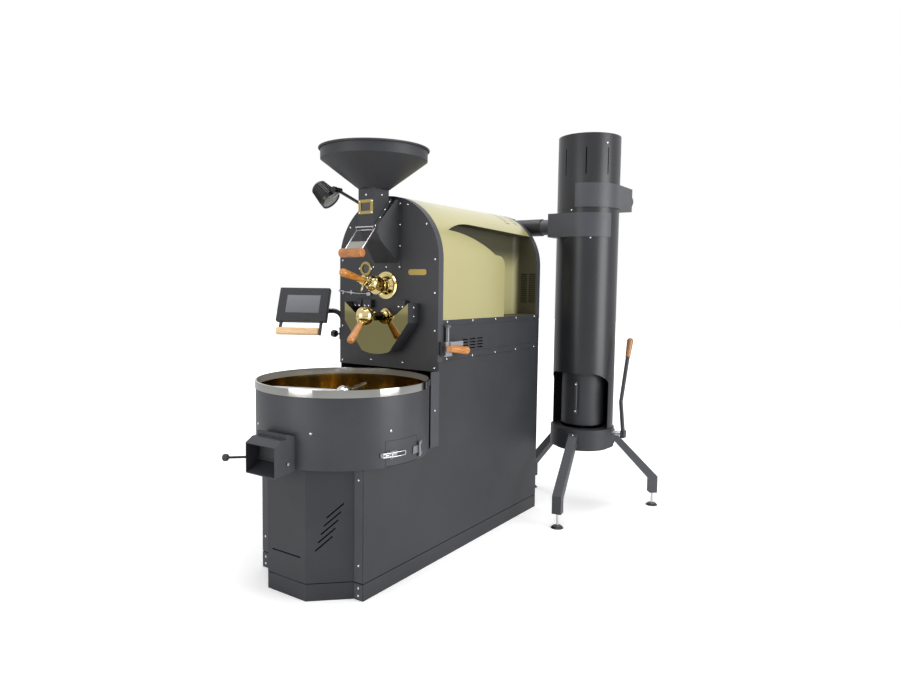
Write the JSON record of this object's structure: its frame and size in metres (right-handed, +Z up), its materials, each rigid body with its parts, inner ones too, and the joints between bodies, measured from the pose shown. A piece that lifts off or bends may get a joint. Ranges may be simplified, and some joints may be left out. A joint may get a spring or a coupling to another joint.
{
  "type": "drum coffee roaster",
  "caption": "Floor-standing drum coffee roaster with hopper, round cooling bin, ball lever, touch screen and a chaff cyclone on a tripod.",
  "frame": {"origin": "centre of the cabinet's underside, on the floor", "axes": "+X control side of the cabinet, -Y front with the cooling bin, +Z up"},
  "size_m": [1.3188, 2.1014, 1.905],
  "materials": {
    "charcoal": "fine textured powder coat",
    "dark_trim": "matt paint",
    "gold_cover": "satin champagne gold",
    "gold_mirror": "mirror polished",
    "brass": "polished",
    "wood": "oiled",
    "pale_wood": "oiled",
    "stainless": "brushed",
    "screw_steel": "bright",
    "glass": "clear",
    "black_plastic": "moulded",
    "drum_steel": "dark",
    "rubber_belt": "matt"
  },
  "bodies": {
    "root": {"base_deck": "charcoal", "base_plinth": "charcoal", "bin_chute": "charcoal", "bin_drive": "charcoal", "bin_floor": "stainless", "bin_rim": "stainless", "bin_shell": "charcoal", "brass_trim": "brass", "chute_box": "charcoal", "control_strips": "charcoal", "cyclone_base": "charcoal", "cyclone_body": "charcoal", "cyclone_cap": "charcoal", "cyclone_legs": "charcoal", "damper_block": "stainless", "discharge_bib": "gold_mirror", "discharge_box": "charcoal", "drive_belt": "rubber_belt", "drive_motor": "charcoal", "drum_bearings": "drum_steel", "drum_chamber": "drum_steel", "exhaust_pipe": "charcoal", "faceplate": "charcoal", "front_panel": "charcoal", "hopper": "charcoal", "hopper_neck": "charcoal", "lamp_arm": "dark_trim", "outer_shell": "gold_cover", "panel_screws": "screw_steel", "probe_lead": "stainless", "rear_panel": "charcoal", "recess_liners": "gold_cover", "screen_post": "dark_trim", "side_panels": "charcoal", "sight_glasses": "glass", "trier_flange": "brass", "trim_strips": "dark_trim"},
    "drum": {"drum": "drum_steel", "drum_shaft": "drum_steel"},
    "motor_pulley": {"motor_pulley": "drum_steel"},
    "stirrer": {"stirrer": "stainless"},
    "slide_gate": {"slide_gate": "stainless", "gate_handle": "wood"},
    "trier_sleeve": {"trier_sleeve": "brass"},
    "trier": {"trier": "brass", "trier_handle": "wood"},
    "discharge_lever": {"discharge_lever": "brass", "discharge_handle": "wood"},
    "damper_handle": {"damper_handle": "wood"},
    "bin_flap": {"bin_flap": "stainless"},
    "bin_door": {"bin_door": "charcoal"},
    "door_latch": {"door_latch": "stainless"},
    "lift_lever": {"lift_lever": "charcoal", "lift_grip": "wood"},
    "chaff_drum": {"chaff_drum": "charcoal"},
    "screen_arm": {"screen_arm": "dark_trim"},
    "screen_case": {"screen_case": "charcoal", "screen_bar": "pale_wood"},
    "lamp_head": {"lamp_head": "charcoal"},
    "arm_knob": {"arm_knob": "black_plastic"}
  },
  "joints": [
    {"name": "drum_spin", "type": "hinge", "parent": "root", "child": "drum", "pos_m": [0, 0.33, 1.11], "axis": [0, 1, 0], "continuous": true},
    {"name": "motor_spin", "type": "hinge", "parent": "root", "child": "motor_pulley", "pos_m": [0.15, 0.6, 0.84], "axis": [0, 1, 0], "continuous": true},
    {"name": "stirrer_spin", "type": "hinge", "parent": "root", "child": "stirrer", "pos_m": [0, -0.428, 0.64], "axis": [0, 0, 1], "continuous": true},
    {"name": "gate_slide", "type": "slide", "parent": "root", "child": "slide_gate", "axis": [0, -0.6561, -0.7547], "range_m": [0, 0.05]},
    {"name": "trier_twist", "type": "hinge", "parent": "root", "child": "trier_sleeve", "pos_m": [0, -0.232, 1.148], "axis": [0, -0.9724, 0.2334], "range_deg": [-180, 180]},
    {"name": "trier_pull", "type": "slide", "parent": "trier_sleeve", "child": "trier", "axis": [0, -0.9724, 0.2334], "range_m": [0, 0.15]},
    {"name": "discharge_turn", "type": "hinge", "parent": "root", "child": "discharge_lever", "pos_m": [0, -0.166, 1.022], "axis": [0, 1, 0], "range_deg": [0, 70]},
    {"name": "damper_turn", "type": "hinge", "parent": "root", "child": "damper_handle", "pos_m": [0.291, -0.108, 0.888], "axis": [1, 0, 0], "range_deg": [0, 80]},
    {"name": "flap_turn", "type": "hinge", "parent": "root", "child": "bin_flap", "pos_m": [0, -0.797, 0.517], "axis": [1, 0, 0], "range_deg": [0, 60]},
    {"name": "door_swing", "type": "hinge", "parent": "root", "child": "bin_door", "pos_m": [0.34379, -0.38091, 0.5325], "axis": [0, 0, 1], "range_deg": [0, 95]},
    {"name": "latch_flip", "type": "hinge", "parent": "bin_door", "child": "door_latch", "pos_m": [0.33192, -0.53585, 0.536], "axis": [0, 0, 1], "range_deg": [-100, 0]},
    {"name": "lift_turn", "type": "hinge", "parent": "root", "child": "lift_lever", "pos_m": [0.678, 0.895, 0.411], "axis": [1, 0, 0], "range_deg": [0, 45]},
    {"name": "chaff_lift", "type": "slide", "parent": "root", "child": "chaff_drum", "axis": [0, 0, 1], "range_m": [-0.018, 0]},
    {"name": "screen_swivel", "type": "hinge", "parent": "root", "child": "screen_arm", "pos_m": [-0.3, -0.118, 0.922], "axis": [0, 0, 1], "range_deg": [-25, 10]},
    {"name": "screen_tilt", "type": "hinge", "parent": "screen_arm", "child": "screen_case", "pos_m": [-0.41856, -0.23257, 1.0398], "axis": [0.8846, 0.4664, 0], "range_deg": [-15, 15]},
    {"name": "lamp_tilt", "type": "hinge", "parent": "root", "child": "lamp_head", "pos_m": [-0.19, -0.262, 1.55], "axis": [0, 1, 0], "range_deg": [-20, 20]},
    {"name": "knob_turn", "type": "hinge", "parent": "root", "child": "arm_knob", "pos_m": [-0.3, -0.118, 0.922], "axis": [1, 0, 0], "range_deg": [-180, 180]}
  ],
  "couplings": [
    {"joint": "motor_spin", "follows": "drum_spin", "ratio": 2.5714},
    {"joint": "chaff_lift", "follows": "lift_turn", "m_per_rad": -0.022917}
  ]
}
